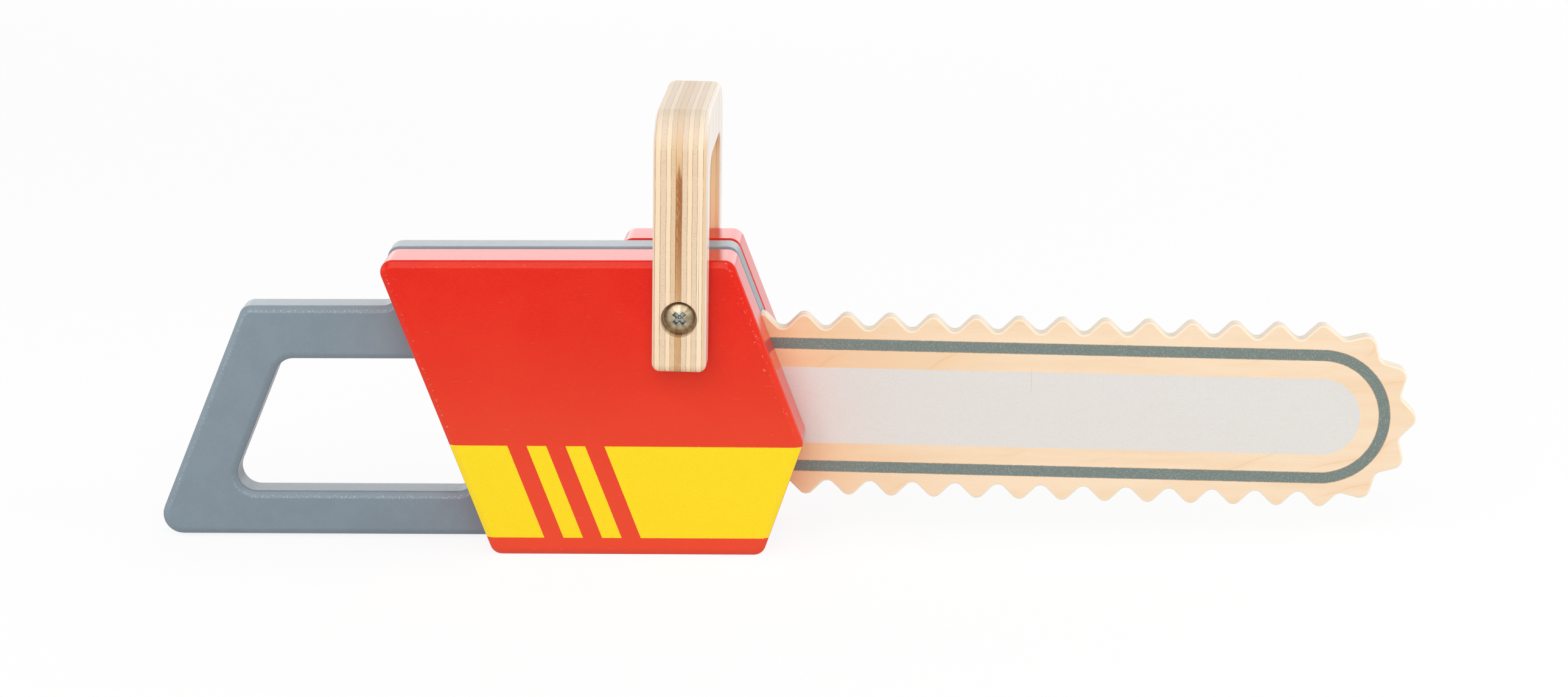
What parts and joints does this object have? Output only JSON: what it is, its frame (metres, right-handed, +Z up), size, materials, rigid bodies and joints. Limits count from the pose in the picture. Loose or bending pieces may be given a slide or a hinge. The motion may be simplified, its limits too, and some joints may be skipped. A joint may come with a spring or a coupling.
{
  "type": "toy chainsaw",
  "caption": "Wooden toy chainsaw: painted board body with an open rear grip, a flat birch blade with rounded teeth and a swinging plywood front handle.",
  "frame": {"origin": "centre of the standing face: the bottom of the overall box, midway along its length and depth", "axes": "+X from the rear grip to the blade tip, +Y from the striped front board to the rear board, +Z up"},
  "size_m": [0.4098, 0.0736, 0.1473],
  "materials": {
    "red_paint": "red gloss paint on wood, with a yellow and red striped band printed on the front face",
    "grey_paint": "blue grey satin paint on wood",
    "birch_blade": "clear lacquered birch plywood with printed grey stripes",
    "birch_ply": "sanded birch plywood, layers showing on its edges",
    "beech": "plain beech dowel",
    "steel": "zinc plated steel"
  },
  "bodies": {
    "saw": {"front_panel": "red_paint", "core_board": "grey_paint", "rear_panel": "red_paint", "saw_blade": "birch_blade", "front_pivot_screw": "steel", "rear_pivot_screw": "steel", "front_spacer_washer": "steel", "rear_spacer_washer": "steel", "body_dowel_1": "beech", "body_dowel_2": "beech", "body_dowel_3": "beech", "front_dowel_1": "beech", "front_dowel_2": "beech", "blade_dowel_1": "beech", "blade_dowel_2": "beech"},
    "handle": {"front_handle": "birch_ply"}
  },
  "joints": [
    {"name": "handle_swing", "type": "hinge", "parent": "saw", "child": "handle", "pos_m": [-0.03057, 0, 0.0818], "axis": [0, 1, 0], "range_deg": [-58, 78]}
  ]
}
